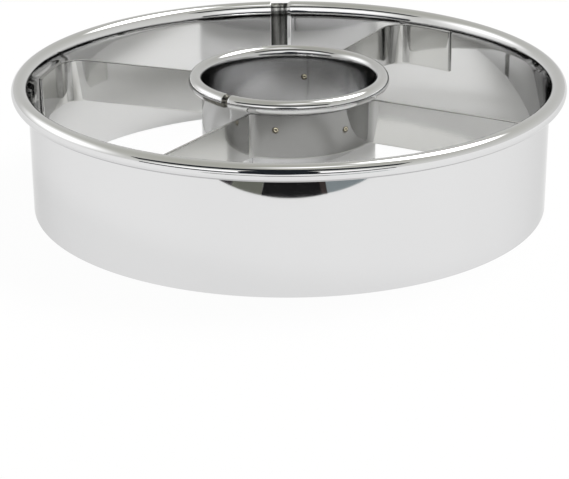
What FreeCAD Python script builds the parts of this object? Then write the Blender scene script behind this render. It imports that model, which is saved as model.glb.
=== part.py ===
"""Doughnut cutter: two rings of thin stainless sheet, one inside the other, joined by two bent strips.

Units are millimetres and degrees. +Z is up, and the origin is on the rings' common axis, at the cutting edges.
Azimuths are counted from +X towards +Y, and the front of the cutter is at -Y.
"""
import FreeCAD, Part
import Sketcher
import math
import os

# Driving dimensions: alias, value, what it measures.
DIMENSIONS = (
    ("sheet", 0.3, "thickness of the sheet that all four pieces are made of"),
    ("ring_height", 21.3, "cutting edge to the top of the rolled bead, on both rings"),
    ("outer_diameter", 90.0, "outer ring, over its bead"),
    ("outer_bead", 2.9, "diameter of the outer ring's rolled bead"),
    ("inner_diameter", 32.8, "inner ring, over its bead"),
    ("inner_bead", 2.4, "diameter of the inner ring's rolled bead"),
    ("lip_clearance", 0.05, "rolled lip to the second layer of sheet at the lap seam"),
    ("joggle", 0.6, "length over which the sheet steps out to pass behind its own end"),
    ("outer_seam_azimuth", 94.4, "edge of the outer ring's top layer"),
    ("outer_groove", 3.0, "bare width of the under layer beside that edge"),
    ("outer_lap", 3.2, "length of the two layers that lie on each other at the outer ring's seam"),
    ("inner_groove", 0.45, "bare width of the under layer at the inner ring's seam"),
    ("inner_lap", 3.0, "length of the two layers at that seam, which ends under the front left spoke"),
    ("strip_height", 7.4, "width of the strips, which stand on edge"),
    ("strip_drop", 0.1, "underside of the inner bead down to the strips' top edges, on the axis"),
    ("weld_gap", 0.02, "strip to the ring that it is spot-welded to"),
    ("tab", 12.2, "length of the strips' tabs, from the spoke's line to the free edge"),
    ("bend", 1.5, "inside radius of the strips' bends, apart from those of the next row"),
    ("back_wall_bend", 3.5, "inside radius of the back strip's bends at the outer ring"),
    ("front_left_ring_azimuth", 246.0, "front strip's left spoke, where it meets the inner ring"),
    ("front_left_wall_azimuth", 240.1, "the same spoke, where it meets the outer ring"),
    ("front_right_ring_azimuth", 333.1, "front strip's right spoke, where it meets the inner ring"),
    ("front_right_wall_azimuth", 332.3, "the same spoke, where it meets the outer ring"),
    ("back_left_ring_azimuth", 146.4, "back strip's left spoke, where it meets the inner ring"),
    ("back_left_wall_azimuth", 154.4, "the same spoke, where it meets the outer ring"),
    ("back_right_ring_azimuth", 67.9, "back strip's right spoke, where it meets the inner ring"),
    ("back_right_wall_azimuth", 63.1, "the same spoke, where it meets the outer ring"),
    ("back_tilt", 0.7, "lean of the back strip, its left end lower"),
)

# Formulas that more than one piece uses.
OUTER_WALL = "(Sizes.outer_diameter / 2 - Sizes.outer_bead)"
INNER_WALL = "(Sizes.inner_diameter / 2 - Sizes.inner_bead)"
STRIP_MIDDLE = "(Sizes.ring_height - Sizes.inner_bead - Sizes.strip_drop - Sizes.strip_height / 2)"
NO_TILT = "0"
BACK_TILT = "Sizes.back_tilt"

# Names for the ends of a sketch's lines and arcs, and for its origin and horizontal axis.
START, END, CENTRE = range(1, 4)
ORIGIN = (-1, 1)
HORIZONTAL_AXIS = -1

AXIS = FreeCAD.Vector(0, 0, 0)
UP = FreeCAD.Vector(0, 0, 1)

document = FreeCAD.newDocument("DoughnutCutter")
sizes = document.addObject("Spreadsheet::Sheet", "Sizes")
for row, (alias, value, note) in enumerate(DIMENSIONS, start=1):
    sizes.set(f"A{row}", alias)
    sizes.set(f"B{row}", str(value))
    sizes.set(f"C{row}", note)
    sizes.setAlias(f"B{row}", alias)
document.recompute()


def number(formula):
    """Value of a formula of the sizes, in millimetres or degrees."""
    result = sizes.evalExpression(formula)
    return float(getattr(result, "Value", result))


def arc_angle(length, radius):
    """Formula of the angle that a length takes up on a circle."""
    return f"({length} / {radius} * 180 / pi)"


def polar(radius, azimuth):
    """Point of the plan at a radius and an azimuth."""
    angle = math.radians(azimuth)
    return FreeCAD.Vector(radius * math.cos(angle), radius * math.sin(angle), 0)


def azimuth_of(point):
    """Azimuth of a point of the plan."""
    return math.degrees(math.atan2(point.y, point.x))


def new_sketch(body, name, role):
    """Sketch on one of the body's own origin planes."""
    plane = next(feature for feature in body.Origin.OriginFeatures if feature.Role == role)
    sketch = body.newObject("Sketcher::SketchObject", name)
    sketch.AttachmentSupport = [(plane, "")]
    sketch.MapMode = "FlatFace"
    return sketch


def arc(centre, radius, first, last):
    """Arc that runs counter-clockwise between two angles."""
    return Part.ArcOfCircle(Part.Circle(centre, UP, radius), math.radians(first), math.radians(last))


def relate(sketch, kind, *items):
    """Constraint without a size."""
    sketch.addConstraint(Sketcher.Constraint(kind, *items))


def bind(sketch, name, kind, *items, formula):
    """Constraint whose size follows a formula of the sizes."""
    is_angle = kind == "Angle"
    value = math.radians(number(formula)) if is_angle else number(formula)
    index = sketch.addConstraint(Sketcher.Constraint(kind, *items, value))
    sketch.renameConstraint(index, name)
    sketch.setExpression(f"Constraints.{name}", f"{formula} * 1 deg" if is_angle else formula)


def ring_section(body, name, wall, bead, layer, azimuth=None):
    """Section of a ring: upright wall, and its top edge rolled outwards into a hollow bead.

    Layer 0 is the sheet itself. Layer 1 is the sheet where it lies under the first layer of the lap seam:
    behind the wall and inside the bead. The section stands at an azimuth of the ring's own frame.
    """
    sketch = new_sketch(body, name, "XZ_Plane")
    wall_radius = f"({wall} + {layer} * Sizes.sheet)"
    bead_radius = f"({bead} / 2 - {layer} * Sizes.sheet)"
    bead_height = f"(Sizes.ring_height - {bead} / 2)"
    lip_radius = f"({wall_radius} + 2 * Sizes.sheet + Sizes.lip_clearance)"
    face, sheet, roll = number(wall_radius), number("Sizes.sheet"), number(bead_radius)
    centre = FreeCAD.Vector(face + roll, number(bead_height), 0)
    lip = -math.degrees(math.acos((number(lip_radius) - centre.x) / roll))

    bottom_inside = FreeCAD.Vector(face, 0, 0)
    bottom_outside = FreeCAD.Vector(face + sheet, 0, 0)
    top_inside = FreeCAD.Vector(face, centre.y, 0)
    top_outside = FreeCAD.Vector(face + sheet, centre.y, 0)
    inside, rolled, lip_edge, hollow, outside, edge = sketch.addGeometry([
        Part.LineSegment(bottom_inside, top_inside),
        arc(centre, roll, lip, 180),
        Part.LineSegment(centre + polar(roll, lip), centre + polar(roll - sheet, lip)),
        arc(centre, roll - sheet, lip, 180),
        Part.LineSegment(top_outside, bottom_outside),
        Part.LineSegment(bottom_outside, bottom_inside),
    ], False)

    relate(sketch, "Tangent", inside, END, rolled, END)
    relate(sketch, "Coincident", rolled, START, lip_edge, START)
    relate(sketch, "Coincident", lip_edge, END, hollow, START)
    relate(sketch, "Tangent", hollow, END, outside, START)
    relate(sketch, "Coincident", outside, END, edge, START)
    relate(sketch, "Coincident", edge, END, inside, START)
    relate(sketch, "Coincident", rolled, CENTRE, hollow, CENTRE)
    relate(sketch, "PointOnObject", rolled, CENTRE, lip_edge)
    relate(sketch, "Vertical", inside)
    relate(sketch, "Vertical", outside)
    relate(sketch, "Horizontal", edge)
    relate(sketch, "PointOnObject", edge, START, HORIZONTAL_AXIS)
    bind(sketch, "wall_radius", "DistanceX", *ORIGIN, edge, END, formula=wall_radius)
    bind(sketch, "sheet", "DistanceX", edge, END, edge, START, formula="Sizes.sheet")
    bind(sketch, "bead_radius", "Radius", rolled, formula=bead_radius)
    bind(sketch, "bead_height", "DistanceY", *ORIGIN, rolled, CENTRE, formula=bead_height)
    bind(sketch, "lip_radius", "DistanceX", *ORIGIN, rolled, START, formula=lip_radius)

    if azimuth:
        turn = FreeCAD.Rotation(FreeCAD.Vector(0, 1, 0), number(azimuth))
        sketch.AttachmentOffset = FreeCAD.Placement(FreeCAD.Vector(), turn)
        sketch.setExpression("AttachmentOffset.Rotation.Angle", f"{azimuth} * 1 deg")
    return sketch


def revolve(body, name, section, angle):
    """Turns a section about the ring's axis, towards rising azimuths."""
    feature = body.newObject("PartDesign::Revolution", name)
    feature.Profile = section
    feature.ReferenceAxis = (section, ["V_Axis"])
    feature.setExpression("Angle", f"{angle} * 1 deg")


def build_ring(label, wall, bead, groove, lap, seam_azimuth):
    """Band with a rolled bead, closed by a lap seam that runs through the wall and the bead.

    In the ring's own frame the top layer's edge is at azimuth 0. The sheet goes once round, steps out by its
    own thickness, shows as a shallow groove, and ends behind its own beginning.
    """
    body = document.addObject("PartDesign::Body", label)
    body.Label = label
    groove_angle = arc_angle(groove, wall)
    joggle_angle = arc_angle("Sizes.joggle", wall)
    lap_angle = arc_angle(lap, wall)
    step_foot = f"(-{groove_angle} - {joggle_angle})"
    step_head = f"(-{groove_angle})"

    band = ring_section(body, f"{label}_band_section", wall, bead, 0)
    revolve(body, f"{label}_band", band, f"(360 - {groove_angle} - {joggle_angle})")
    under = ring_section(body, f"{label}_under_section", wall, bead, 1, step_head)
    revolve(body, f"{label}_under_layer", under, f"({groove_angle} + {lap_angle})")

    step = body.newObject("PartDesign::AdditiveLoft", f"{label}_joggle")
    step.Profile = ring_section(body, f"{label}_step_foot", wall, bead, 0, step_foot)
    step.Sections = [ring_section(body, f"{label}_step_head", wall, bead, 1, step_head)]
    step.Ruled = True

    body.Placement = FreeCAD.Placement(AXIS, FreeCAD.Rotation(UP, number(seam_azimuth)))
    body.setExpression("Placement.Rotation.Angle", f"{seam_azimuth} * 1 deg")
    return body


class Spoke:
    """One spoke of a strip in plan, with the bend at each of its ends and the tab beyond the outer one.

    Side is 1 where the tab turns towards rising azimuths, and -1 where it turns the other way. The wrap round
    the inner ring always leaves on the other side, as in a hat-shaped strip.
    """

    def __init__(self, name, side, ring_azimuth, wall_azimuth, wall_bend, tilt):
        self.name, self.side = name, side
        self.ring_azimuth, self.wall_azimuth = ring_azimuth, wall_azimuth
        self.ring_bend, self.wall_bend = "Sizes.bend", wall_bend
        room = f"(Sizes.weld_gap + Sizes.strip_height / 2 * sin({tilt} * 1 deg))"
        self.ring_face = f"({INNER_WALL} + Sizes.sheet + {room})"
        self.wall_face = f"({OUTER_WALL} - {room})"
        self.ring_reach = f"({self.ring_face} + Sizes.sheet / 2)"
        self.wall_reach = f"({self.wall_face} - Sizes.sheet / 2)"
        self.edge_azimuth = f"({wall_azimuth} + {side} * {arc_angle('Sizes.tab', self.wall_reach)})"

        self.at_ring = polar(number(self.ring_reach), number(ring_azimuth))
        self.at_wall = polar(number(self.wall_reach), number(wall_azimuth))
        self.along = (self.at_wall - self.at_ring).normalize()
        self.across = UP.cross(self.along) * side
        half_sheet = number("Sizes.sheet") / 2
        ring_middle = number(self.ring_bend) + half_sheet
        wall_middle = number(wall_bend) + half_sheet
        self.offset = self.at_ring.dot(self.across)
        self.ring_centre = self.point_at(self.offset - ring_middle, number(self.ring_reach) + ring_middle)
        self.wall_centre = self.point_at(self.offset + wall_middle, number(self.wall_reach) - wall_middle)

    def point_at(self, across, reach):
        """Point at a distance from the axis, and at a distance across from the radius along the spoke."""
        return self.across * across + self.along * math.sqrt(reach ** 2 - across ** 2)

    def turned_arc(self, centre, radius, first, last):
        """Arc between two angles, towards rising angles for side 1 and falling ones for side -1."""
        return arc(centre, radius, first, last) if self.side > 0 else arc(centre, radius, last, first)

    def draw_centre_line(self, sketch):
        """Construction lines: the two radii that place the spoke's ends, and its centre line."""
        ring_radius, wall_radius, self.centre_line = sketch.addGeometry([
            Part.LineSegment(AXIS, self.at_ring),
            Part.LineSegment(AXIS, self.at_wall),
            Part.LineSegment(self.at_ring, self.at_wall),
        ], True)
        name = self.name
        relate(sketch, "Coincident", ring_radius, START, *ORIGIN)
        relate(sketch, "Coincident", wall_radius, START, *ORIGIN)
        relate(sketch, "Coincident", self.centre_line, START, ring_radius, END)
        relate(sketch, "Coincident", self.centre_line, END, wall_radius, END)
        bind(sketch, f"{name}_ring_reach", "Distance", ring_radius, formula=self.ring_reach)
        bind(sketch, f"{name}_wall_reach", "Distance", wall_radius, formula=self.wall_reach)
        bind(sketch, f"{name}_ring_azimuth", "Angle", ring_radius, formula=self.ring_azimuth)
        bind(sketch, f"{name}_wall_azimuth", "Angle", wall_radius, formula=self.wall_azimuth)

    def draw_face(self, sketch, outward):
        """Bend, straight run, bend and tab of one face of the sheet, and returns the first and the last.

        The outward face lies on the outer ring at the tab, and faces away from the inner ring at the wrap.
        """
        name = f"{self.name}_{'outward' if outward else 'inward'}"
        ring_radius = self.ring_bend if outward else f"({self.ring_bend} + Sizes.sheet)"
        wall_radius = f"({self.wall_bend} + Sizes.sheet)" if outward else self.wall_bend
        tab_radius = self.wall_face if outward else f"({self.wall_face} - Sizes.sheet)"
        half_sheet = number("Sizes.sheet") / 2
        face_offset = self.across * (self.offset - half_sheet if outward else self.offset + half_sheet)
        to_line = azimuth_of(self.across)
        to_wrap = azimuth_of(self.ring_centre) + 180
        to_tab = azimuth_of(self.wall_centre)

        ring_arc, run, wall_arc, tab_arc = sketch.addGeometry([
            self.turned_arc(self.ring_centre, number(ring_radius), to_line, to_wrap),
            Part.LineSegment(face_offset + self.along * self.ring_centre.dot(self.along),
                             face_offset + self.along * self.wall_centre.dot(self.along)),
            self.turned_arc(self.wall_centre, number(wall_radius), to_line + 180, to_tab),
            self.turned_arc(AXIS, number(tab_radius), to_tab, number(self.edge_azimuth)),
        ], False)

        first, last = (START, END) if self.side > 0 else (END, START)
        relate(sketch, "Tangent", ring_arc, first, run, START)
        relate(sketch, "Tangent", run, END, wall_arc, first)
        relate(sketch, "Tangent", wall_arc, last, tab_arc, first)
        relate(sketch, "Coincident", tab_arc, CENTRE, *ORIGIN)
        relate(sketch, "Parallel", run, self.centre_line)
        bind(sketch, f"{name}_half_sheet", "Distance", self.centre_line, START, run, formula="Sizes.sheet / 2")
        bind(sketch, f"{name}_ring_bend", "Radius", ring_arc, formula=ring_radius)
        bind(sketch, f"{name}_wall_bend", "Radius", wall_arc, formula=wall_radius)
        bind(sketch, f"{name}_tab", "Radius", tab_arc, formula=tab_radius)
        return ring_arc, tab_arc

    def draw_free_edge(self, sketch, inward_tab, outward_tab):
        """Square end of the tab, on a radius."""
        edge_azimuth = number(self.edge_azimuth)
        inner = polar(number(f"({self.wall_face} - Sizes.sheet)"), edge_azimuth)
        outer = polar(number(self.wall_face), edge_azimuth)
        edge, = sketch.addGeometry([Part.LineSegment(inner, outer)], False)
        last = END if self.side > 0 else START
        relate(sketch, "Coincident", edge, START, inward_tab, last)
        relate(sketch, "Coincident", edge, END, outward_tab, last)
        relate(sketch, "PointOnObject", *ORIGIN, edge)
        bind(sketch, f"{self.name}_edge_azimuth", "Angle", edge, formula=self.edge_azimuth)


def build_strip(label, low, high, tilt):
    """Strip on edge, bent to a hat in plan: tab, spoke, wrap round the inner ring, spoke, tab.

    Low and high are the spokes at the wrap's lower and higher azimuth. The strip's own origin is halfway up,
    where it tilts.
    """
    body = document.addObject("PartDesign::Body", label)
    body.Label = label
    sketch = new_sketch(body, f"{label}_plan", "XY_Plane")
    for spoke in (low, high):
        spoke.draw_centre_line(sketch)

    tabs = {}
    for outward in (False, True):
        low_bend, low_tab = low.draw_face(sketch, outward)
        high_bend, high_tab = high.draw_face(sketch, outward)
        wrap_radius = f"({low.ring_face} + Sizes.sheet)" if outward else low.ring_face
        wrap_ends = (azimuth_of(low.ring_centre), azimuth_of(high.ring_centre))
        wrap, = sketch.addGeometry([arc(AXIS, number(wrap_radius), *wrap_ends)], False)
        relate(sketch, "Tangent", low_bend, START, wrap, START)
        relate(sketch, "Tangent", wrap, END, high_bend, END)
        relate(sketch, "Coincident", wrap, CENTRE, *ORIGIN)
        bind(sketch, f"wrap_{'outward' if outward else 'inward'}", "Radius", wrap, formula=wrap_radius)
        tabs[outward] = (low_tab, high_tab)
    for end, spoke in enumerate((low, high)):
        spoke.draw_free_edge(sketch, tabs[False][end], tabs[True][end])

    pad = body.newObject("PartDesign::Pad", f"{label}_sheet")
    pad.Profile = sketch
    pad.Midplane = True
    pad.setExpression("Length", "Sizes.strip_height")

    lean = FreeCAD.Rotation(FreeCAD.Vector(0, -1, 0), number(tilt))
    body.Placement = FreeCAD.Placement(FreeCAD.Vector(0, 0, number(STRIP_MIDDLE)), lean)
    body.setExpression("Placement.Base.z", STRIP_MIDDLE)
    if tilt != NO_TILT:
        body.setExpression("Placement.Rotation.Angle", f"{tilt} * 1 deg")
    return body


# The inner ring's two layers end where the front strip begins.
inner_seam_azimuth = f"(Sizes.front_left_ring_azimuth - {arc_angle('Sizes.inner_lap', INNER_WALL)})"

pieces = [
    build_ring("outer_ring", OUTER_WALL, "Sizes.outer_bead",
               "Sizes.outer_groove", "Sizes.outer_lap", "Sizes.outer_seam_azimuth"),
    build_ring("inner_ring", INNER_WALL, "Sizes.inner_bead",
               "Sizes.inner_groove", "Sizes.inner_lap", inner_seam_azimuth),
    build_strip(
        "front_strip",
        Spoke("left", -1, "Sizes.front_left_ring_azimuth", "Sizes.front_left_wall_azimuth",
              "Sizes.bend", NO_TILT),
        Spoke("right", 1, "Sizes.front_right_ring_azimuth", "Sizes.front_right_wall_azimuth",
              "Sizes.bend", NO_TILT),
        NO_TILT),
    build_strip(
        "back_strip",
        Spoke("right", -1, "Sizes.back_right_ring_azimuth", "Sizes.back_right_wall_azimuth",
              "Sizes.back_wall_bend", BACK_TILT),
        Spoke("left", 1, "Sizes.back_left_ring_azimuth", "Sizes.back_left_wall_azimuth",
              "Sizes.back_wall_bend", BACK_TILT),
        BACK_TILT),
]
document.recompute()

for item in document.Objects:
    if "Invalid" in item.State or "Error" in item.State:
        raise RuntimeError(f"{item.Label} did not compute: {item.State}")
for piece in pieces:
    if piece.Shape.isNull() or not piece.Shape.isValid() or len(piece.Shape.Solids) != 1:
        raise RuntimeError(f"{piece.Label} is not one valid solid")

os.makedirs("parts", exist_ok=True)
for piece in pieces:
    piece.Shape.exportStep(f"parts/{piece.Label}.step")
    print(f"{piece.Label}: {piece.Shape.Volume:.1f} mm3, {len(piece.Shape.Faces)} faces")
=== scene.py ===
"""Doughnut cutter of bright rolled stainless sheet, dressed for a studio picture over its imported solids.

Two rings of thin sheet with rolled beads and lap seams are joined by two strips on edge. Lengths in the
classes below are in millimetres and turn into metres where a mesh is made. +Z is up and the front is at -Y.
"""
import logging
import math
from contextlib import contextmanager
from dataclasses import dataclass, field
from enum import Enum
from typing import Callable, Iterator

import bmesh
import bpy
from mathutils import Matrix, Vector


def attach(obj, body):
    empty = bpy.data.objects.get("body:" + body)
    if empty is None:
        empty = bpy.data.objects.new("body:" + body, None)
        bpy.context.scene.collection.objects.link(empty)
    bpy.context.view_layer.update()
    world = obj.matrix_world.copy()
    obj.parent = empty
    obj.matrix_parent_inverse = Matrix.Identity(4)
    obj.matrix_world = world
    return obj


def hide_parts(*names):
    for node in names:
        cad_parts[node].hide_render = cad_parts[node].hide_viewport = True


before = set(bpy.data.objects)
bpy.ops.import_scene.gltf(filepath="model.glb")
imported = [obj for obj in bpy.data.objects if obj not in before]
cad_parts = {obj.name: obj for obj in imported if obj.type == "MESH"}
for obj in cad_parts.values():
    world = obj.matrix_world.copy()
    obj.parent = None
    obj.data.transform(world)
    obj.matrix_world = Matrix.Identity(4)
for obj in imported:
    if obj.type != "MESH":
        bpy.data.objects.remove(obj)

MM = 0.001
BODY = "root"
UP = Vector((0.0, 0.0, 1.0))
ORIGIN = Vector()

# Thickness of the sheets, and width of their broken edges, in millimetres.
SHEET = 0.3
EDGE = 0.05

# Places so many millimetres apart, and angles so many degrees apart, count as the same.
TOUCH = 0.001
# A bend sharper than the first angle is an edge of the sheet. One flatter than the second shades smoothly.
EDGE_ANGLE = 50.0
SMOOTH_ANGLE = 35.0

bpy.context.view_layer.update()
log = logging.getLogger("doughnut_cutter")

Piece = bpy.types.Object
PointTest = Callable[[Vector], bool]
FaceTest = Callable[[Vector, Vector], bool]
Output = bpy.types.NodeSocket
Feed = Output | float | tuple[float, ...]


# Workbench: small operations that every piece is made with.

def pick_up(piece: Piece) -> None:
    """Makes a piece the only selected and the active object."""
    bpy.ops.object.select_all(action="DESELECT")
    piece.select_set(True)
    bpy.context.view_layer.objects.active = piece


def settle(piece: Piece) -> None:
    """Moves a piece's place, turn and scale into its mesh."""
    pick_up(piece)
    bpy.ops.object.transform_apply(location=True, rotation=True, scale=True)


@contextmanager
def editing(piece: Piece) -> Iterator[None]:
    """Holds a piece in edit mode, with nothing selected at the start."""
    pick_up(piece)
    bpy.ops.object.mode_set(mode="EDIT")
    bpy.ops.mesh.select_mode(type="VERT")
    bpy.ops.mesh.select_all(action="DESELECT")
    yield
    bpy.ops.object.mode_set(mode="OBJECT")


def select_where(piece: Piece, test: PointTest) -> None:
    """Selects the points whose place passes a test, with the edges and faces between them.

    Args:
        piece: The object in edit mode.
        test: Says whether a point is wanted, from its place in metres.
    """
    bpy.ops.mesh.select_all(action="DESELECT")
    mesh = bmesh.from_edit_mesh(piece.data)
    for vertex in mesh.verts:
        if test(vertex.co):
            vertex.select_set(True)
    mesh.select_flush(True)
    bmesh.update_edit_mesh(piece.data)


def join(piece: Piece, other: Piece) -> None:
    """Makes another object part of a piece."""
    pick_up(piece)
    other.select_set(True)
    bpy.ops.object.join()


def close_up(piece: Piece, faces_out: FaceTest) -> None:
    """Merges doubled points and turns a single layer of faces one way.

    Args:
        piece: The object, out of edit mode.
        faces_out: Says of a face's centre and normal whether the face looks the right way.
    """
    with editing(piece):
        bpy.ops.mesh.select_all(action="SELECT")
        bpy.ops.mesh.remove_doubles(threshold=TOUCH * MM)
        bpy.ops.mesh.normals_make_consistent(inside=False)
    right_way = sum(1 if faces_out(face.center, face.normal) else -1 for face in piece.data.polygons)
    if right_way < 0:
        with editing(piece):
            bpy.ops.mesh.select_all(action="SELECT")
            bpy.ops.mesh.flip_normals()


def thicken(piece: Piece, offset: float) -> None:
    """Gives a layer of faces the sheet's thickness, and takes the sharpness off its edges.

    Args:
        piece: The object, out of edit mode.
        offset: -1 to grow behind the faces, 0 to grow both ways.
    """
    pick_up(piece)
    solidify = piece.modifiers.new("Sheet", "SOLIDIFY")
    solidify.thickness = SHEET * MM
    solidify.offset = offset
    solidify.use_even_offset = True
    bevel = piece.modifiers.new("Edges", "BEVEL")
    bevel.width = EDGE * MM
    bevel.segments = 2
    bevel.limit_method = "ANGLE"
    bevel.angle_limit = math.radians(EDGE_ANGLE)
    for modifier in ("Sheet", "Edges"):
        bpy.ops.object.modifier_apply(modifier=modifier)
    bpy.ops.object.shade_smooth_by_angle(angle=math.radians(SMOOTH_ANGLE))


def swing(degrees: float, steps: int, centre: Vector = ORIGIN) -> None:
    """Draws the selected points round an upright axis, counter-clockwise from above for rising angles.

    Args:
        degrees: Angle to draw them through.
        steps: Number of faces along the way.
        centre: A point on the axis, in millimetres.
    """
    bpy.ops.mesh.spin(steps=max(1, steps), angle=math.radians(degrees), center=centre * MM, axis=-UP)


def draw_out(way: Vector) -> None:
    """Extrudes the selected points along a straight way, in millimetres."""
    bpy.ops.mesh.extrude_region_move(TRANSFORM_OT_translate={"value": way * MM})


def azimuth(point: Vector) -> float:
    """Azimuth of a point in degrees, from +X towards +Y."""
    return math.degrees(math.atan2(point.y, point.x))


def polar(radius: float, degrees: float, height: float = 0.0) -> Vector:
    """Point at a radius, an azimuth and a height."""
    angle = math.radians(degrees)
    return Vector((radius * math.cos(angle), radius * math.sin(angle), height))


def turned(degrees: float, towards: float = 180.0) -> float:
    """Same angle, within half a turn of another one."""
    return (degrees - towards + 180.0) % 360.0 - 180.0 + towards


def hand_over(piece: Piece, name: str, *nodes: str) -> None:
    """Names a finished piece, fixes it to the cutter's one body and reports it.

    Args:
        piece: The finished object.
        name: Its name.
        nodes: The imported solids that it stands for.
    """
    piece.name = name
    piece.data.name = name
    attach(piece, BODY)
    if nodes:
        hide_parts(*nodes)
    log.info("%s: %d faces", name, len(piece.data.polygons))


# Finishes.

@dataclass
class NodeDesk:
    """Desk on which the nodes of a material or of the world are laid out and wired.

    Attributes:
        owner: What the nodes belong to.
        blank: Whether the nodes that it came with are cleared.
    """

    owner: bpy.types.Material | bpy.types.World
    blank: bool = True

    def __post_init__(self) -> None:
        """Turns the nodes on."""
        self.owner.use_nodes = True
        if self.blank:
            self.owner.node_tree.nodes.clear()

    def add(self, kind: str, feeds: dict[str | int, Feed], **choices: str) -> bpy.types.Node:
        """Adds a node.

        Args:
            kind: Its type, without ShaderNode before it.
            feeds: What its inputs get.
            choices: Its own settings, such as an operation.

        Returns:
            The new node.
        """
        node = self.owner.node_tree.nodes.new("ShaderNode" + kind)
        for choice, value in choices.items():
            setattr(node, choice, value)
        self.feed(node, feeds)
        return node

    def feed(self, node: bpy.types.Node, feeds: dict[str | int, Feed]) -> None:
        """Wires or sets a node's inputs.

        Args:
            node: The node.
            feeds: Another node's output or a plain value for each input, by its name or number.
        """
        for key, feed in feeds.items():
            if isinstance(feed, Output):
                self.owner.node_tree.links.new(feed, node.inputs[key])
            else:
                node.inputs[key].default_value = feed

    def spread(self, value: Output, low: float, high: float, start: float = 0.0, end: float = 1.0) -> Output:
        """Spreads a range of a value over another range.

        Args:
            value: The value.
            low: What the start becomes.
            high: What the end becomes.
            start: Start of the value's range.
            end: End of the value's range.

        Returns:
            The spread value.
        """
        feeds = {"Value": value, "From Min": start, "From Max": end, "To Min": low, "To Max": high}
        return self.add("MapRange", feeds).outputs["Result"]

    def noise(self, place: Output, size: float, detail: float) -> Output:
        """Adds a noise pattern.

        Args:
            place: The coordinates that it reads.
            size: Size of its spots, in millimetres.
            detail: Octaves of finer noise in it.

        Returns:
            The pattern's value, from 0 to 1.
        """
        feeds = {"Vector": place, "Scale": 1.0 / (size * MM), "Detail": detail}
        return self.add("TexNoise", feeds).outputs["Fac"]

    def show_mix(self, share: Output, first: Output, second: Output, end: str = "OutputMaterial") -> None:
        """Shows a mix of two shaders.

        Args:
            share: Share of the second shader.
            first: The first shader.
            second: The second shader.
            end: Type of the last node, which shows the mix.
        """
        mix = self.add("MixShader", {"Fac": share, 1: first, 2: second})
        self.add(end, {"Surface": mix.outputs["Shader"]})


class Grain(Enum):
    """Direction in which the mill's fine lines and waves run on a piece."""

    UPRIGHT = (1.0, 1.0, 0.05)
    EVEN = (1.0, 1.0, 1.0)


@dataclass(frozen=True)
class SteelFinish:
    """Rolled stainless sheet: a mirror that the mill has left slightly wavy, with fine lines in it.

    Attributes:
        name: The material's name.
        pale: Colour of its pale clouds.
        deep: Colour of its deep clouds.
        roughness: Least and greatest roughness.
        grain: Direction of its waves and lines.
        wave: Width and height of a wave.
        line: Width and height of a fine line.
        painted_shade: Share by which the shaded side's colour is darkened, as painted shade.
        haze: How much rougher the shaded side is.
        shaded_side: -1 where the side that looks at the cutter's axis gets the painted shade, 1 for the other
            side.
        blotch: Contrast of the clouds.
        grazing: Share of the light that is mirrored at a flat angle.
    """

    name: str
    pale: tuple[float, float, float]
    deep: tuple[float, float, float]
    roughness: tuple[float, float]
    grain: Grain
    wave: tuple[float, float]
    line: tuple[float, float]
    painted_shade: float = 0.0
    haze: float = 0.0
    shaded_side: float = -1.0
    blotch: float = 1.0
    grazing: tuple[float, float, float] = (0.80, 0.80, 0.80)

    def material(self) -> bpy.types.Material:
        """Builds the finish as a material on object coordinates.

        Returns:
            The new material.
        """
        material = bpy.data.materials.new(self.name)
        desk = NodeDesk(material, blank=False)
        place = desk.add("TexCoord", {}).outputs["Object"]
        grained = desk.add("Mapping", {"Vector": place, "Scale": self.grain.value}).outputs["Vector"]
        painted_shade = self.shaded_side_share(desk, place)
        wave_size, wave_height = self.wave
        line_size, line_height = self.line

        half = 0.5 * self.blotch
        cloud = desk.spread(desk.noise(grained, 3.0 * wave_size, detail=2.0), 0.5 - half, 0.5 + half)
        colour = desk.add("Mix", {"Factor": cloud, "A": (*self.deep, 1.0), "B": (*self.pale, 1.0)},
                          data_type="RGBA")
        # Painted shade: the shaded side's colour is darkened by a share.
        shade = desk.spread(painted_shade, 1.0, 1.0 - self.painted_shade)
        dulled = desk.add("VectorMath", {0: colour.outputs["Result"], "Scale": shade}, operation="SCALE")

        fine = desk.spread(desk.noise(grained, 0.4 * wave_size, detail=4.0), *self.roughness)
        haze = desk.spread(painted_shade, 0.0, self.haze)
        rough = desk.add("Math", {0: fine, 1: haze}, operation="ADD")

        waved = desk.add("Bump", {"Strength": 1.0, "Distance": wave_height * MM,
                                  "Height": desk.noise(grained, wave_size, detail=0.0)})
        lined = desk.add("Bump", {"Strength": 1.0, "Distance": line_height * MM,
                                  "Height": desk.noise(grained, line_size, detail=3.0),
                                  "Normal": waved.outputs["Normal"]})
        desk.feed(material.node_tree.nodes["Principled BSDF"], {
            "Metallic": 1.0, "Specular Tint": (*self.grazing, 1.0), "Base Color": dulled.outputs["Vector"],
            "Roughness": rough.outputs["Value"], "Normal": lined.outputs["Normal"]})
        return material

    def shaded_side_share(self, desk: NodeDesk, place: Output) -> Output:
        """Finds the side that gets the painted shade.

        Args:
            desk: Where the material's nodes are laid out.
            place: Object coordinates.

        Returns:
            A value that is 1 on that side and 0 elsewhere.
        """
        start, full = 0.3, 0.95
        flat = desk.add("VectorMath", {0: place, 1: (1.0, 1.0, 0.0)}, operation="MULTIPLY")
        radial = desk.add("VectorMath", {0: flat.outputs["Vector"]}, operation="NORMALIZE")
        normal = desk.add("NewGeometry", {}).outputs["Normal"]
        outward = desk.add("VectorMath", {0: radial.outputs["Vector"], 1: normal}, operation="DOT_PRODUCT")
        return desk.spread(outward.outputs["Value"], 0.0, 1.0, start * self.shaded_side, full * self.shaded_side)


# The hole's steel has painted shade on the side that looks at the axis, the strips' steel on the side that
# looks away from it.
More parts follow.
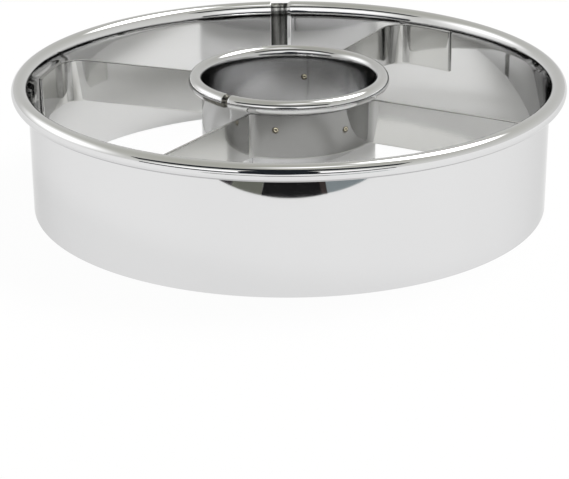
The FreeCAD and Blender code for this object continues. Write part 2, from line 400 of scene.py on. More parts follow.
RING_STEEL = SteelFinish("bright_rolled_steel", (0.77, 0.77, 0.775), (0.73, 0.73, 0.735), (0.02, 0.05),
                         Grain.UPRIGHT, wave=(6.0, 0.008), line=(0.5, 0.0002), haze=0.02)
HOLE_STEEL = SteelFinish("hazy_rolled_steel", (0.74, 0.74, 0.745), (0.70, 0.70, 0.705), (0.02, 0.06),
                         Grain.UPRIGHT, wave=(4.0, 0.008), line=(0.5, 0.0002), painted_shade=0.12, haze=0.07)
STRIP_STEEL = SteelFinish("satin_strip_steel", (0.66, 0.66, 0.65), (0.59, 0.59, 0.58), (0.05, 0.10),
                          Grain.UPRIGHT, wave=(4.0, 0.012), line=(0.3, 0.0006), painted_shade=0.32, shaded_side=1.0)
# Painted shade: the seam's bare groove is painted near-black in streaky clouds, for the shade and dark
# reflection in its recess.
SEAM_SHADE_STEEL = SteelFinish("seam_groove_shade_steel", (0.40, 0.40, 0.385), (0.03, 0.03, 0.029), (0.10, 0.22),
                         Grain.UPRIGHT, wave=(0.30, 0.014), line=(0.12, 0.001), blotch=3.5)
# Painted shade: the inner ring's seam gap and the open lip beside it are painted near-black for the shade in
# them, and are also rough.
SEAM_GAP_SHADE_STEEL = SteelFinish("seam_gap_shade_steel", (0.24, 0.23, 0.20), (0.03, 0.03, 0.03), (0.15, 0.30),
                            Grain.EVEN, wave=(0.15, 0.02), line=(0.1, 0.004), blotch=2.2)
SCORCHED_STEEL = SteelFinish("scorched_weld_steel", (0.26, 0.24, 0.20), (0.09, 0.08, 0.07), (0.20, 0.35),
                             Grain.EVEN, wave=(0.3, 0.02), line=(0.1, 0.004), blotch=1.6)
# Painted highlight: the pale part to one side of a weld mark's rim.
WELD_HIGHLIGHT_STEEL = SteelFinish("weld_rim_highlight_steel", (0.96, 0.90, 0.72), (0.70, 0.62, 0.44), (0.12, 0.25),
                         Grain.EVEN, wave=(0.2, 0.01), line=(0.1, 0.002))


def dress(piece: Piece, finish: SteelFinish) -> None:
    """Puts a finish on the whole of a bare piece."""
    piece.data.materials.append(bpy.data.materials.get(finish.name) or finish.material())


def dress_part(piece: Piece, finish: SteelFinish, test: FaceTest) -> None:
    """Puts a second finish on the faces that pass a test.

    Args:
        piece: The dressed object.
        finish: The second finish.
        test: Says of a face's centre and normal whether the face gets it.
    """
    with editing(piece):
        bpy.ops.mesh.select_mode(type="FACE")
        mesh = bmesh.from_edit_mesh(piece.data)
        for face in mesh.faces:
            face.select_set(test(face.calc_center_median(), face.normal))
        bmesh.update_edit_mesh(piece.data)
        bpy.ops.object.material_slot_add()
        piece.active_material = bpy.data.materials.get(finish.name) or finish.material()
        bpy.ops.object.material_slot_assign()


# The cutter's pieces.

class Layer(Enum):
    """Sheet of a ring: the band itself, or its end where that lies behind the seam's top layer."""

    BAND = 0
    UNDER = 1


@dataclass
class RolledRing:
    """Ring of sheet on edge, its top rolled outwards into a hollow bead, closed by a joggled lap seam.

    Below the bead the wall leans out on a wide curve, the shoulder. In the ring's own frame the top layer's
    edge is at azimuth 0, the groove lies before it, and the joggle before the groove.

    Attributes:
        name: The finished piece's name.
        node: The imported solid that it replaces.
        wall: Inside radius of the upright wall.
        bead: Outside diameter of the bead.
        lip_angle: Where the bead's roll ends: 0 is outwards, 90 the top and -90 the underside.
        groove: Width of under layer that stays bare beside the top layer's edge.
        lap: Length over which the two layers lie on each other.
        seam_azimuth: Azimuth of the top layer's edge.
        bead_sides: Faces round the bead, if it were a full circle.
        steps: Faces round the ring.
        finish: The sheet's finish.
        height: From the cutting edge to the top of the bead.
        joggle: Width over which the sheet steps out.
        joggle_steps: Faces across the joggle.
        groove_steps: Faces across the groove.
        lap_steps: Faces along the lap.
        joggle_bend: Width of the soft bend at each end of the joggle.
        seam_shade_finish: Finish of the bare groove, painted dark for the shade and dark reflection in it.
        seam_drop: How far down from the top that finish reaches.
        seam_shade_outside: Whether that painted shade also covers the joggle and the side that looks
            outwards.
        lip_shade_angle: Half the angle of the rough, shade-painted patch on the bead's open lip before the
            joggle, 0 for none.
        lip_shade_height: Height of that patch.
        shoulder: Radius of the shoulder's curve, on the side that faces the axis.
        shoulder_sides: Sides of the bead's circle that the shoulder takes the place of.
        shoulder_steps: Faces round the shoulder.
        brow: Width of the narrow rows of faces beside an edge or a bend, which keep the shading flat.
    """

    name: str
    node: str
    wall: float
    bead: float
    lip_angle: float
    groove: float
    lap: float
    seam_azimuth: float
    bead_sides: int
    steps: int
    finish: SteelFinish = RING_STEEL
    height: float = 21.3
    joggle: float = 0.6
    joggle_steps: int = 6
    groove_steps: int = 4
    lap_steps: int = 6
    joggle_bend: float = 0.08
    seam_shade_finish: SteelFinish = SEAM_SHADE_STEEL
    seam_drop: float = 30.0
    seam_shade_outside: bool = False
    lip_shade_angle: float = 0.0
    lip_shade_height: float = 1.05
    shoulder: float = 6.0
    shoulder_sides: int = 3
    shoulder_steps: int = 6
    brow: float = 0.3

    @property
    def shoulder_angle(self) -> float:
        """Lean of the wall where it runs into the bead."""
        return 360 * self.shoulder_sides / self.bead_sides

    @property
    def roll(self) -> float:
        """Radius of the bead's round part, which keeps the bead's whole width together with the shoulder."""
        lean = math.cos(math.radians(self.shoulder_angle))
        return (self.bead - self.shoulder * (1 - lean)) / (1 + lean)

    def angle_of(self, length: float) -> float:
        """Angle round the axis that a length along the wall takes."""
        return math.degrees(length / self.wall)

    def section(self, layer: Layer) -> Piece:
        """Draws the face of one layer's section: bead from its lip, and wall down to the cutting edge.

        Args:
            layer: The band, or its end behind it.

        Returns:
            A line of edges in the XZ plane.
        """
        radius = self.roll - layer.value * SHEET
        centre = Vector((self.wall + self.bead - self.roll, 0.0, self.height - self.roll))
        bpy.ops.mesh.primitive_circle_add(vertices=self.bead_sides, radius=radius * MM, location=centre * MM,
                                          rotation=(math.radians(90), 0.0, 0.0))
        line = bpy.context.object
        settle(line)
        slack = 90 / self.bead_sides
        lean = 180 - self.shoulder_angle

        def in_mouth(point: Vector) -> bool:
            """Whether a point of the full circle lies where the bead is open."""
            angle = math.degrees(math.atan2(point.z / MM - centre.z, point.x / MM - centre.x))
            return angle < self.lip_angle - slack or angle > lean + slack

        with editing(line):
            select_where(line, in_mouth)
            bpy.ops.mesh.delete(type="VERT")
            end = centre + Vector((math.cos(math.radians(lean)), 0.0, math.sin(math.radians(lean)))) * radius
            select_where(line, lambda point: (point / MM - end).length < TOUCH)
            for way in self.shoulder_ways(self.shoulder - layer.value * SHEET):
                draw_out(way)
                end = end + way
            for drop in (self.brow, end.z - 2 * self.brow, self.brow):
                draw_out(Vector((0.0, 0.0, -drop)))
        return line

    def shoulder_ways(self, radius: float) -> list[Vector]:
        """Short straight ways that follow the shoulder's curve, from the bead down to the upright wall.

        Args:
            radius: Radius of the curve, in millimetres.

        Returns:
            One way for each step.
        """
        leans = [math.radians(self.shoulder_angle * (1 - step / self.shoulder_steps))
                 for step in range(self.shoulder_steps + 1)]
        places = [Vector((-math.cos(lean), 0.0, math.sin(lean))) * radius for lean in leans]
        return [after - before for before, after in zip(places, places[1:])]

    def swept(self, layer: Layer, first: float, *ways: tuple[float, int]) -> Piece:
        """Draws a layer's section round the ring's axis.

        Args:
            layer: The band, or its end behind it.
            first: Azimuth of the start, in the ring's own frame.
            ways: Angles to draw it through one after the other, each with its number of faces.

        Returns:
            A single layer of faces.
        """
        line = self.section(layer)
        line.rotation_euler.z = math.radians(first)
        settle(line)
        with editing(line):
            bpy.ops.mesh.select_all(action="SELECT")
            for angle, steps in ways:
                swing(angle, steps)
        return line

    def build(self) -> None:
        """Models the whole ring, finishes it and hands it over."""
        groove, rim = self.angle_of(self.groove), self.angle_of(self.brow / 2)
        head = 360.0 - groove
        foot = head - self.angle_of(self.joggle)
        ring = self.swept(Layer.BAND, 0.0, (rim, 1), (foot - rim, self.steps))
        join(ring, self.swept(Layer.UNDER, head, (groove, self.groove_steps),
                              (self.angle_of(self.lap), self.lap_steps)))

        def at_step(point: Vector) -> bool:
            """Whether a point lies at the foot or the head of the joggle."""
            angle = azimuth(point) % 360.0
            return min(abs(angle - foot), abs(angle - head)) < TOUCH

        def in_seam(centre: Vector, normal: Vector) -> bool:
            """Whether a face gets the seam's painted shade."""
            start = foot if self.seam_shade_outside else head
            slope = 0.3
            outwards = normal.xy.dot(centre.xy.normalized()) > slope
            return (start < turned(azimuth(centre), 360.0) < 360.0
                    and (self.seam_shade_outside or not outwards)
                    and centre.z > (self.height - self.seam_drop) * MM)

        def in_lip_shade(centre: Vector, normal: Vector) -> bool:
            """Whether a face is on the lip's patch of roughness and painted shade."""
            rise, inset = 0.12, 0.5
            low = self.height - self.bead + rise
            return (abs(turned(azimuth(centre)) - foot + self.lip_shade_angle) < self.lip_shade_angle
                    and low * MM < centre.z < (low + self.lip_shade_height) * MM
                    and centre.xy.length > (self.wall + inset) * MM)

        with editing(ring):
            select_where(ring, at_step)
            bpy.ops.mesh.bridge_edge_loops(number_cuts=self.joggle_steps, interpolation="LINEAR")
            select_where(ring, at_step)
            bpy.ops.mesh.bevel(offset=self.joggle_bend * MM, segments=3, affect="EDGES")
        close_up(ring, self.looks_in)
        thicken(ring, offset=-1.0)
        dress(ring, self.finish)
        # Painted shade in the seam's groove.
        dress_part(ring, self.seam_shade_finish, in_seam)
        # Painted shade, with roughness, on the open lip beside the seam.
        if self.lip_shade_angle:
            dress_part(ring, SEAM_GAP_SHADE_STEEL, in_lip_shade)
        ring.rotation_euler.z = math.radians(self.seam_azimuth)
        settle(ring)
        hand_over(ring, self.name, self.node)

    def looks_in(self, centre: Vector, normal: Vector) -> bool:
        """Whether a face of the wall looks at the ring's axis, as the modelled side of the sheet does."""
        return centre.x * normal.x + centre.y * normal.y < 0 or centre.z > (self.height - self.bead) * MM


@dataclass
class Spoke:
    """One spoke of a strip in plan, with the bend at each end and the tab beyond the outer one.

    Attributes:
        side: 1 where the tab turns towards rising azimuths, -1 where it turns the other way.
        ring_azimuth: Where its line meets the inner ring.
        wall_azimuth: Where its line meets the outer ring.
        ring_reach: Distance from the axis to the sheet's middle at the inner ring.
        wall_reach: The same at the outer ring.
        ring_bend: Radius of the inner bend, at the sheet's middle.
        wall_bend: Radius of the outer bend, at the sheet's middle.
        tab: Length of the tab, from the spoke's line to the free edge.
        along: The way from the inner ring to the outer one.
        across: The way square to it, on the side of the tab.
        offset: How far the spoke's line passes from the axis, on that side.
        ring_centre: Centre of the inner bend.
        wall_centre: Centre of the outer bend.
    """

    side: int
    ring_azimuth: float
    wall_azimuth: float
    ring_reach: float
    wall_reach: float
    ring_bend: float
    wall_bend: float
    tab: float
    along: Vector = field(init=False)
    across: Vector = field(init=False)
    offset: float = field(init=False)
    ring_centre: Vector = field(init=False)
    wall_centre: Vector = field(init=False)

    def __post_init__(self) -> None:
        """Works out the spoke's line and the centres of its bends."""
        at_ring = polar(self.ring_reach, self.ring_azimuth)
        self.along = (polar(self.wall_reach, self.wall_azimuth) - at_ring).normalized()
        self.across = UP.cross(self.along) * self.side
        self.offset = at_ring.dot(self.across)
        self.ring_centre = self.point_at(self.offset - self.ring_bend, self.ring_reach + self.ring_bend)
        self.wall_centre = self.point_at(self.offset + self.wall_bend, self.wall_reach - self.wall_bend)

    def point_at(self, across: float, reach: float) -> Vector:
        """Point at a distance from the axis, and at a distance across from the radius along the spoke."""
        return self.across * across + self.along * math.sqrt(reach ** 2 - across ** 2)

    @property
    def inner_end(self) -> Vector:
        """End of the straight run at the inner ring."""
        return self.across * self.offset + self.along * self.ring_centre.dot(self.along)

    @property
    def outer_end(self) -> Vector:
        """End of the straight run at the outer ring."""
        return self.across * self.offset + self.along * self.wall_centre.dot(self.along)

    @property
    def ring_turn(self) -> float:
        """Angle of the inner bend, from the straight run to the wrap."""
        return turned(azimuth(self.ring_centre) + 180 - azimuth(self.across), 0.0)

    @property
    def wall_turn(self) -> float:
        """Angle of the outer bend, from the straight run to the tab."""
        return turned(azimuth(self.wall_centre) - (azimuth(self.across) + 180), 0.0)

    @property
    def tab_turn(self) -> float:
        """Angle of the tab round the cutter's axis, from the bend to the free edge."""
        free_edge = self.wall_azimuth + self.side * math.degrees(self.tab / self.wall_reach)
        return turned(free_edge - azimuth(self.wall_centre), 0.0)


@dataclass
class Tongs:
    """Hold on one upright end of a strip, which they bend and draw out further."""

    strip: Piece
    end: Vector

    def grip(self) -> None:
        """Selects the strip's end."""
        select_where(self.strip, lambda point: (point / MM - self.end).xy.length < TOUCH)

    def bend(self, degrees: float, steps: int, centre: Vector = ORIGIN) -> None:
        """Draws the end round an upright axis.

        Args:
            degrees: Angle of the bend, counter-clockwise from above.
            steps: Number of faces along it.
            centre: A point on the axis.
        """
        self.grip()
        swing(degrees, steps, centre)
        self.end = centre + Matrix.Rotation(math.radians(degrees), 3, UP) @ (self.end - centre)

    def pull(self, way: Vector) -> None:
        """Draws the end out along a straight way."""
        self.grip()
        draw_out(way)
        self.end = self.end + way


@dataclass
class HatStrip:
    """Strip of sheet on edge, bent to a hat in plan: tab, spoke, wrap round the inner ring, spoke, tab.

    Attributes:
        name: The finished piece's name.
        node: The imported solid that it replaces.
        low: The spoke at the wrap's lower azimuth.
        high: The spoke at its higher azimuth.
        tilt: Lean of the whole strip, its upper edge towards -X.
        finish: The sheet's finish.
        middle: Height of its middle above the cutting edges.
        height: Width of the sheet, which stands upright.
        brow: Width of the narrow rows of faces beside its edges and bends.
        bend_steps: Faces round each bend.
    """

    name: str
    node: str
    low: Spoke
    high: Spoke
    tilt: float
    finish: SteelFinish = STRIP_STEEL
    middle: float = 15.1
    height: float = 7.4
    brow: float = 0.25
    bend_steps: int = 12

    def build(self) -> None:
        """Models the strip from the low spoke outwards and then inwards, finishes it and hands it over."""
        low, high = self.low, self.high
        run = low.outer_end - low.inner_end
        bpy.ops.mesh.primitive_plane_add(size=MM, location=(low.inner_end + low.outer_end) / 2 * MM,
                                         rotation=(math.radians(90), 0.0, math.radians(azimuth(low.along))))
        strip = bpy.context.object
        strip.scale = (run.length, self.height, 1.0)
        settle(strip)

        with editing(strip):
            for spot, normal in ((UP * (self.height / 2 - self.brow), UP),
                                 (UP * (self.brow - self.height / 2), UP),
                                 (low.inner_end + low.along * self.brow, low.along),
                                 (low.outer_end - low.along * self.brow, low.along)):
                bpy.ops.mesh.select_all(action="SELECT")
                bpy.ops.mesh.bisect(plane_co=spot * MM, plane_no=normal)

            tongs = Tongs(strip, low.outer_end)
            tongs.bend(low.wall_turn, self.bend_steps, low.wall_centre)
            tongs.bend(low.tab_turn, round(abs(low.tab_turn)))

            tongs = Tongs(strip, low.inner_end)
            tongs.bend(low.ring_turn, self.bend_steps, low.ring_centre)
            wrap = turned(azimuth(high.ring_centre) - azimuth(low.ring_centre))
            tongs.bend(wrap, round(wrap))
            tongs.bend(-high.ring_turn, self.bend_steps, high.ring_centre)
            run = high.outer_end - high.inner_end
            for length in (self.brow, run.length - 2 * self.brow, self.brow):
                tongs.pull(high.along * length)
            tongs.bend(high.wall_turn, self.bend_steps, high.wall_centre)
            tongs.bend(high.tab_turn, round(abs(high.tab_turn)))
        close_up(strip, lambda centre, normal: centre.x * normal.x + centre.y * normal.y > 0)
        thicken(strip, offset=0.0)
        strip.location.z = self.middle * MM
        strip.rotation_euler.y = -math.radians(self.tilt)
        settle(strip)
        dress(strip, self.finish)
        hand_over(strip, self.name, self.node)


@dataclass
class SpotWeld:
    """Mark of a spot weld: a scorched shallow dish with a raised rim, with a painted highlight on one side of
    the rim.

    Attributes:
        name: The finished mark's name.
        surface: Radius of the surface that it lies on.
        azimuth: Where it lies.
        height: How high it lies.
        outward: Whether it is on an outer surface.
        diameter: Outer diameter.
        sides: Points round it.
        root: How deep its foot reaches into the sheet.
        rim: Height of its rim.
        highlight_centre: Middle of the painted highlight, from the mark's own middle.
        highlight_rim: Inner and outer radius of the painted highlight.
    """

    name: str
    surface: float
    azimuth: float
    height: float
    outward: bool
    diameter: float = 1.15
    sides: int = 32
    root: float = 0.02
    rim: float = 0.06
    highlight_centre: tuple[float, float] = (0.13, 0.10)
    highlight_rim: tuple[float, float] = (0.17, 0.37)

    def build(self) -> None:
        """Models the mark and hands it over."""
        way = 1.0 if self.outward else -1.0
        bpy.ops.mesh.primitive_circle_add(vertices=self.sides, radius=self.diameter / 2 * MM,
                                          fill_type="NGON")
        mark = bpy.context.object
        # Width and rise of each step from the foot over the rim and down the dish to its raised middle.
        steps = ((0.08, self.root + self.rim), (0.08, 0.0), (0.10, -0.6 * self.rim), (0.12, 0.0),
                 (0.08, 0.3 * self.rim))
        with editing(mark):
            bpy.ops.mesh.select_all(action="SELECT")
            for width, rise in steps:
                bpy.ops.mesh.inset(thickness=width * MM, depth=rise * MM)
        soften = mark.modifiers.new("Soft", "SUBSURF")
        soften.levels = soften.render_levels = 2
        bpy.ops.object.modifier_apply(modifier="Soft")
        bpy.ops.object.shade_smooth()
        dress(mark, SCORCHED_STEEL)
        # Painted highlight on one side of the rim.
        dress_part(mark, WELD_HIGHLIGHT_STEEL, self.on_rim_highlight)
        place = polar(self.surface - way * self.root, self.azimuth, self.height)
        normal = polar(way, self.azimuth)
        side = UP.cross(normal)
        mark.matrix_world = Matrix.Translation(place * MM) @ Matrix((side, UP, normal)).transposed().to_4x4()
        settle(mark)
        hand_over(mark, self.name)

    def on_rim_highlight(self, centre: Vector, normal: Vector) -> bool:
        """Whether a face of the unplaced mark is on the rim's painted highlight, which lies a little to one
        side.
        """
        reach = (centre.xy / MM - Vector(self.highlight_centre)).length
        return self.highlight_rim[0] < reach < self.highlight_rim[1]


@dataclass
class DoughnutCutter:
    """The whole cutter: two rings, two strips and the marks of their spot welds.

    Each spoke is given by the azimuths at which its line meets the inner ring and the outer one.
    """

    outer_wall: float = 42.1
    inner_wall: float = 14.0
    weld_gap: float = 0.02
    bend: float = 1.5
    back_wall_bend: float = 3.5
    tab: float = 12.2
    back_tilt: float = 0.7
    inner_lap: float = 3.0
    front_left: tuple[float, float] = (246.0, 240.1)
    front_right: tuple[float, float] = (333.1, 332.3)
    back_right: tuple[float, float] = (67.9, 63.1)
    back_left: tuple[float, float] = (146.4, 154.4)

    def spoke(self, side: int, azimuths: tuple[float, float], wall_bend: float, tilt: float) -> Spoke:
        """Sets out one spoke on the sheet's middle line.

        Args:
            side: 1 where the tab turns towards rising azimuths, -1 where it turns the other way.
            azimuths: Where its line meets the inner ring and the outer one.
            wall_bend: Inside radius of its outer bend.
            tilt: Lean of the strip that it belongs to.

        Returns:
            The spoke.
        """
        half = SHEET / 2
        room = self.weld_gap + HatStrip.height / 2 * math.sin(math.radians(tilt))
        return Spoke(side, *azimuths, self.inner_wall + SHEET + room + half,
                     self.outer_wall - room - half, self.bend + half, wall_bend + half, self.tab)

    def build(self) -> None:
        """Builds every piece in order."""
        self.build_rings()
        self.build_strips()
        self.build_welds()

    def build_rings(self) -> None:
        """Builds both rings. The inner one's lap ends under the front left spoke."""
        RolledRing("outer_ring_sheet", "outer_ring", self.outer_wall, bead=2.9, lip_angle=-123.75, groove=3.0,
                   lap=3.2, seam_azimuth=94.4, bead_sides=64, steps=360).build()
        inner_seam = self.front_left[0] - math.degrees(self.inner_lap / self.inner_wall)
        RolledRing("inner_ring_sheet", "inner_ring", self.inner_wall, bead=2.4, lip_angle=-117.0, groove=0.45,
                   lap=self.inner_lap, seam_azimuth=inner_seam, bead_sides=80, steps=240, finish=HOLE_STEEL,
                   seam_shade_finish=SEAM_GAP_SHADE_STEEL, seam_drop=2.4, seam_shade_outside=True, lip_shade_angle=8.5).build()

    def build_strips(self) -> None:
        """Builds the strip before the inner ring, which is upright, and the one behind it, which leans."""
        HatStrip("front_strip_sheet", "front_strip", self.spoke(-1, self.front_left, self.bend, 0.0),
                 self.spoke(1, self.front_right, self.bend, 0.0), tilt=0.0).build()
        HatStrip("back_strip_sheet", "back_strip",
                 self.spoke(-1, self.back_right, self.back_wall_bend, self.back_tilt),
                 self.spoke(1, self.back_left, self.back_wall_bend, self.back_tilt), self.back_tilt).build()

    def build_welds(self) -> None:
        """Builds the marks: two on the front strip and one inside the inner ring."""
        strip_face = self.inner_wall + 2 * SHEET + self.weld_gap
        SpotWeld("weld_mark_front_left", strip_face, azimuth=261.5, height=16.2, outward=True).build()
        SpotWeld("weld_mark_front_right", strip_face, azimuth=307.6, height=15.3, outward=True).build()
        SpotWeld("weld_mark_back_right", self.inner_wall, azimuth=79.3, height=16.1, outward=False).build()


# The studio.

def facing(bearing: float, elevation: float, distance: float, roll: float = 0.0) -> Matrix:
    """Place and turn of a flat thing that faces the middle of the cutter.

    Args:
        bearing: Angle from +Y towards +X, in degrees.
        elevation: Angle above the floor, in degrees.
        distance: Distance from the cutter's middle, in millimetres.
        roll: Turn about its own face, in degrees.

    Returns:
        The matrix, whose -Z looks at the cutter.
    """
    rise = math.radians(elevation)
    towards = polar(math.cos(rise), 90 - bearing, math.sin(rise))
    turn = towards.to_track_quat("Z", "Y").to_matrix().to_4x4()
    return Matrix.Translation(towards * distance * MM) @ turn @ Matrix.Rotation(math.radians(roll), 4, "Z")


@dataclass
class Floor:
    """Plain white floor, seen as white as a sheet of paper, with the cutter's shadow on it.

    Each glow is the share of plain white in place of the paint: what the camera sees, what the steel mirrors,
    and what it mirrors inside the outer ring, whose walls keep light off the floor.
    """

    size: float = 6000.0
    drop: float = 0.01
    white: float = 0.95
    seen_glow: float = 0.95
    mirrored_glow: float = 0.85
    walled_glow: float = 0.12
    walled_radius: float = 42.2
    walled_rim: float = 0.2

    def build(self) -> None:
        """Lays the floor just under the cutting edges."""
        bpy.ops.mesh.primitive_plane_add(size=self.size * MM, location=(0.0, 0.0, -self.drop * MM))
        floor = bpy.context.object
        floor.name = "studio_floor"
        floor.data.materials.append(self.material())

    def material(self) -> bpy.types.Material:
        """Builds the white: paint for the light that falls on it, and a share of glow for what is seen.

        Returns:
            The new material.
        """
        material = bpy.data.materials.new("studio_white")
        desk = NodeDesk(material)
        paint = desk.add("BsdfDiffuse", {"Color": (self.white, self.white, self.white, 1.0)})
        plain = desk.add("Emission", {})
        ray = desk.add("LightPath", {}).outputs
        mirrored = desk.add("Math", {0: ray["Is Glossy Ray"], 1: ray["Is Transmission Ray"]},
                            operation="MAXIMUM")
        share = desk.add("Math", {0: mirrored.outputs["Value"], 1: self.open_share(desk)},
                         operation="MULTIPLY")
        glow = desk.add("Math", {0: ray["Is Camera Ray"], 1: self.seen_glow, 2: share.outputs["Value"]},
                        operation="MULTIPLY_ADD")
        desk.show_mix(glow.outputs["Value"], paint.outputs["BSDF"], plain.outputs["Emission"])
        return material

    def open_share(self, desk: NodeDesk) -> Output:
        """Lays out the glow that the steel mirrors, outside and inside the outer ring.

        Args:
            desk: Where the material's nodes are laid out.

        Returns:
            The share.
        """
        place = desk.add("TexCoord", {}).outputs["Object"]
        reach = desk.add("VectorMath", {0: place}, operation="LENGTH")
        return desk.spread(reach.outputs["Value"], self.walled_glow, self.mirrored_glow,
                           (self.walled_radius - self.walled_rim / 2) * MM,
                           (self.walled_radius + self.walled_rim / 2) * MM)


@dataclass
class Softbox:
    """Oval of soft light that faces the cutter, brightest at its middle.

    Its level is the strength at the middle, and its core the share of the radius that glows in full.
    """

    name: str
    bearing: float
    elevation: float
    width: float
    height: float
    level: float
    roll: float = 0.0
    core: float = 0.0
    distance: float = 900.0

    def build(self) -> None:
        """Hangs the lamp out of the camera's sight."""
        bpy.ops.mesh.primitive_plane_add(size=2.0)
        lamp = bpy.context.object
        lamp.name = self.name
        spread = Matrix.Diagonal((self.width / 2 * MM, self.height / 2 * MM, 1.0, 1.0))
        lamp.matrix_world = facing(self.bearing, self.elevation, self.distance, self.roll) @ spread
        lamp.data.materials.append(self.material())
        lamp.visible_camera = False

    def material(self) -> bpy.types.Material:
        """Builds the glow: full at the core, fading to nothing at the oval's rim.

        Returns:
            The new material.
        """
        material = bpy.data.materials.new(self.name)
        desk = NodeDesk(material)
        place = desk.add("TexCoord", {}).outputs["Object"]
        oval = desk.add("TexGradient", {"Vector": place}, gradient_type="SPHERICAL")
        fade = desk.add("MapRange", {"Value": oval.outputs["Fac"], "From Max": 1.0 - self.core},
                        interpolation_type="SMOOTHSTEP")
        light = desk.add("Emission", {"Strength": self.level})
        clear = desk.add("BsdfTransparent", {})
        desk.show_mix(fade.outputs["Result"], clear.outputs["BSDF"], light.outputs["Emission"])
        return material


class Shape(Enum):
    """Outline of a studio card."""

    RECTANGLE = 0
    OVAL = 1


@dataclass
class Flag:
    """Painted card that only the steel's reflections show, as a dark part of the room."""

    name: str
    colour: tuple[float, float, float]
    width: float
    height: float
    matrix: Matrix
    shape: Shape = Shape.RECTANGLE

    def build(self) -> None:
        """Sets the card up, out of the camera's sight and without a shadow of its own."""
        if self.shape is Shape.OVAL:
            bpy.ops.mesh.primitive_circle_add(vertices=96, radius=0.5 * MM, fill_type="NGON")
        else:
            bpy.ops.mesh.primitive_plane_add(size=MM)
        card = bpy.context.object
        card.name = self.name
        card.scale = (self.width, self.height, 1.0)
        settle(card)
        card.matrix_world = self.matrix
        card.data.materials.append(self.paint())
        card.visible_camera = False
        card.visible_diffuse = False
        card.visible_shadow = False

    def paint(self) -> bpy.types.Material:
        """Builds plain matt paint as a material."""
        material = bpy.data.materials.new(self.name)
        desk = NodeDesk(material, blank=False)
        desk.feed(material.node_tree.nodes["Principled BSDF"], {
            "Base Color": (*self.colour, 1.0), "Roughness": 0.9, "Specular IOR Level": 0.0})
        return material


@dataclass
class PhotoCamera:
    """Camera at the photograph's viewing angle.

    Elevation and distance are from a point on the cutter's axis. Pitch is down, and yaw towards +X.
    """

    elevation: float = 19.070
    distance: float = 304.118
    aim_height: float = 11.25
    pitch: float = 22.478
    yaw: float = -0.169
    roll: float = -0.297
    lens: float = 116.25

    def build(self) -> None:
        """Puts the camera up and makes it the scene's."""
        data = bpy.data.cameras.new("studio_camera")
        data.sensor_width = 36.0
        data.lens = self.lens
        data.clip_start = 0.01
        camera = bpy.data.objects.new("studio_camera", data)
        bpy.context.collection.objects.link(camera)
        rise, pitch = math.radians(self.elevation), math.radians(self.pitch)
        place = polar(self.distance * math.cos(rise), -90.0,
                      self.aim_height + self.distance * math.sin(rise))
        ahead = polar(math.cos(pitch), 90.0 - self.yaw, -math.sin(pitch))
        right = ahead.cross(UP).normalized()
        turn = Matrix((right, right.cross(ahead), -ahead)).transposed().to_4x4()
        roll = Matrix.Rotation(math.radians(self.roll), 4, "Z")
        camera.matrix_world = Matrix.Translation(place * MM) @ turn @ roll
        bpy.context.scene.camera = camera


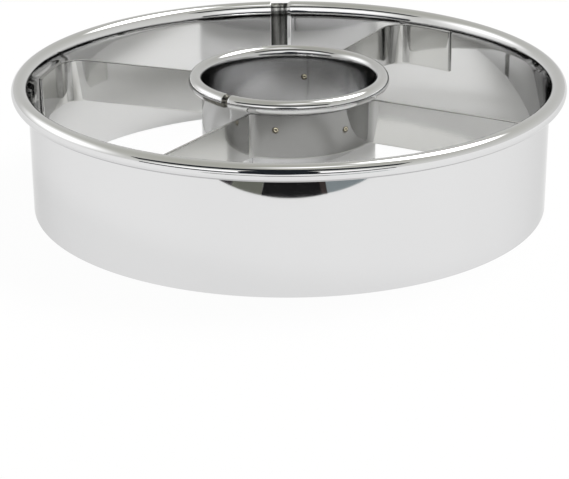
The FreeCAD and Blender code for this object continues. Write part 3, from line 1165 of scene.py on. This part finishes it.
@dataclass
class Studio:
    """Floor, lamps, dark cards, the room's own light, and the camera."""

    horizon: tuple[float, float, float] = (0.80, 0.80, 0.785)
    ceiling: tuple[float, float, float] = (0.48, 0.48, 0.43)

    def build(self) -> None:
        """Sets the whole studio up."""
        Floor().build()
        self.light_room()
        self.hang_lamps()
        self.set_up_cards()
        self.lay_table_cards()
        PhotoCamera().build()

    def hang_lamps(self) -> None:
        """Hangs the four lamps."""
        for lamp in (
            Softbox("softbox_left", -74.0, 24.0, width=1500.0, height=860.0, level=1.8, roll=-8.0),
            Softbox("softbox_right", 58.0, 58.0, width=780.0, height=620.0, level=13.0),
            Softbox("softbox_top", 152.0, 80.0, width=620.0, height=340.0, level=1.8, core=0.05),
            Softbox("softbox_front", 189.0, 20.0, width=2300.0, height=460.0, level=1.35, core=0.4),
        ):
            lamp.build()

    def set_up_cards(self) -> None:
        """Sets up the black cards: one close before the front bead and two wide ones by the camera."""
        black = (0.02, 0.024, 0.03)
        before_bead = Matrix.Translation(Vector((-3.6, -72.0, 31.0)) * MM)
        upright = Matrix.Rotation(math.radians(-90), 4, "X")
        Flag("flag_before_front", black, 28.0, 27.0, before_bead @ upright, Shape.OVAL).build()
        bearing, distance = 189.0, 760.0
        Flag("flag_over_camera", black, 1640.0, 255.0, facing(bearing, 46.5, distance)).build()
        Flag("flag_at_horizon", black, 1800.0, 230.0, facing(bearing, 2.6, distance)).build()

    def lay_table_cards(self) -> None:
        """Lays the cards on the floor before the cutter, from left to right.

        Each turns by its slant about its back left corner, and lies a step lower than the one before it.
        """
        back_edge, depth, lift, step = -82.1, 14.0, 0.30, 0.02
        # Name, colour, left end, right end and slant.
        cards = (
            ("flag_table_far_left", (0.05, 0.045, 0.05), -42.0, -27.0, 0.0),
            ("flag_table_left", (0.15, 0.155, 0.135), -27.0, -12.5, 0.0),
            ("flag_table_middle", (0.012, 0.012, 0.013), -12.5, 14.4, 0.5),
            ("flag_table_edge", (0.045, 0.035, 0.034), 13.0, 17.0, 4.5),
            ("flag_table_right", (0.23, 0.265, 0.285), 16.0, 50.0, 4.5),
        )
        for name, colour, left, right, slant in cards:
            corner = Matrix.Translation(Vector((left, back_edge, lift)) * MM)
            turn = Matrix.Rotation(math.radians(slant), 4, "Z")
            middle = Matrix.Translation(Vector(((right - left) / 2, -depth / 2, 0.0)) * MM)
            Flag(name, colour, right - left, depth, corner @ turn @ middle).build()
            lift -= step

    def light_room(self) -> None:
        """Gives the room walls and a darker ceiling, and shows the camera white past the floor's edge."""
        world = bpy.data.worlds.new("studio_room")
        bpy.context.scene.world = world
        desk = NodeDesk(world)
        place = desk.add("TexCoord", {}).outputs["Generated"]
        height = desk.add("SeparateXYZ", {"Vector": place}).outputs["Z"]
        colour = desk.add("Mix", {"Factor": height, "A": (*self.horizon, 1.0), "B": (*self.ceiling, 1.0)},
                          data_type="RGBA")
        room = desk.add("Background", {"Color": colour.outputs["Result"]})
        white = desk.add("Background", {"Color": (1.0, 1.0, 1.0, 1.0)})
        ray = desk.add("LightPath", {})
        desk.show_mix(ray.outputs["Is Camera Ray"], room.outputs["Background"], white.outputs["Background"],
                      end="OutputWorld")


def main() -> None:
    """Builds the cutter and its studio."""
    logging.basicConfig(level=logging.INFO, format="%(name)s: %(message)s")
    bpy.context.scene.view_settings.view_transform = "Standard"
    DoughnutCutter().build()
    Studio().build()


if __name__ == "__main__":
    main()
